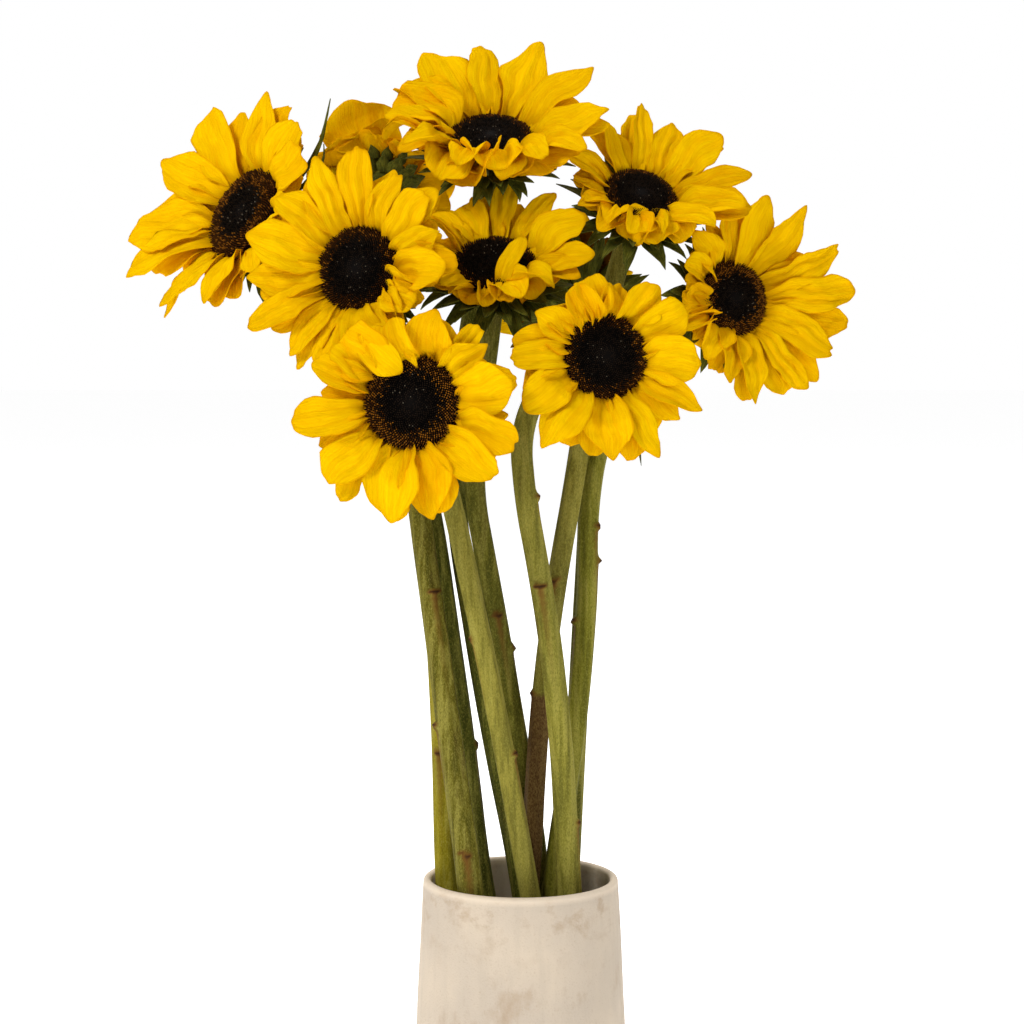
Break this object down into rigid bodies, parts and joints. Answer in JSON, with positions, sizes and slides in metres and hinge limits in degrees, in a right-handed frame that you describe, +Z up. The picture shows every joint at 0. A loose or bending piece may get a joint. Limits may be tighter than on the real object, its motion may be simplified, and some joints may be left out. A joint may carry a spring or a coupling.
{
  "type": "bunch of cut sunflowers in a vase",
  "caption": "Bunch of cut sunflowers on bare green stems, standing in a plain beige ceramic vase, with broad yellow rays round dark seed disks.",
  "frame": {"origin": "middle of the vase's flat underside, on the surface that it stands on", "axes": "+Z up along the vase's axis, -Y towards the side that most of the blooms face, +X to the right as seen from there"},
  "size_m": [0.4116, 0.1892, 0.6753],
  "materials": {
    "clay": "matte",
    "stem": "matte",
    "leaf_green": "matte",
    "ray_yellow": "satin",
    "disk_brown": "matte"
  },
  "bodies": {
    "root": {"vase": "clay", "stem_a": "stem", "calyx_a": "leaf_green", "bracts_a": "leaf_green", "rays_a": "ray_yellow", "disk_a": "disk_brown", "stem_b": "stem", "calyx_b": "leaf_green", "bracts_b": "leaf_green", "rays_b": "ray_yellow", "disk_b": "disk_brown", "stem_c": "stem", "calyx_c": "leaf_green", "bracts_c": "leaf_green", "rays_c": "ray_yellow", "disk_c": "disk_brown", "stem_d": "stem", "calyx_d": "leaf_green", "bracts_d": "leaf_green", "rays_d": "ray_yellow", "disk_d": "disk_brown", "stem_e": "stem", "calyx_e": "leaf_green", "bracts_e": "leaf_green", "rays_e": "ray_yellow", "disk_e": "disk_brown", "stem_f": "stem", "calyx_f": "leaf_green", "bracts_f": "leaf_green", "rays_f": "ray_yellow", "disk_f": "disk_brown", "stem_g": "stem", "calyx_g": "leaf_green", "bracts_g": "leaf_green", "rays_g": "ray_yellow", "disk_g": "disk_brown", "stem_h": "stem", "calyx_h": "leaf_green", "bracts_h": "leaf_green", "rays_h": "ray_yellow", "disk_h": "disk_brown", "stem_i": "stem", "calyx_i": "leaf_green", "bracts_i": "leaf_green", "rays_i": "ray_yellow", "disk_i": "disk_brown", "stem_j": "stem", "calyx_j": "leaf_green", "bracts_j": "leaf_green", "rays_j": "ray_yellow", "disk_j": "disk_brown"}
  },
  "joints": []
}
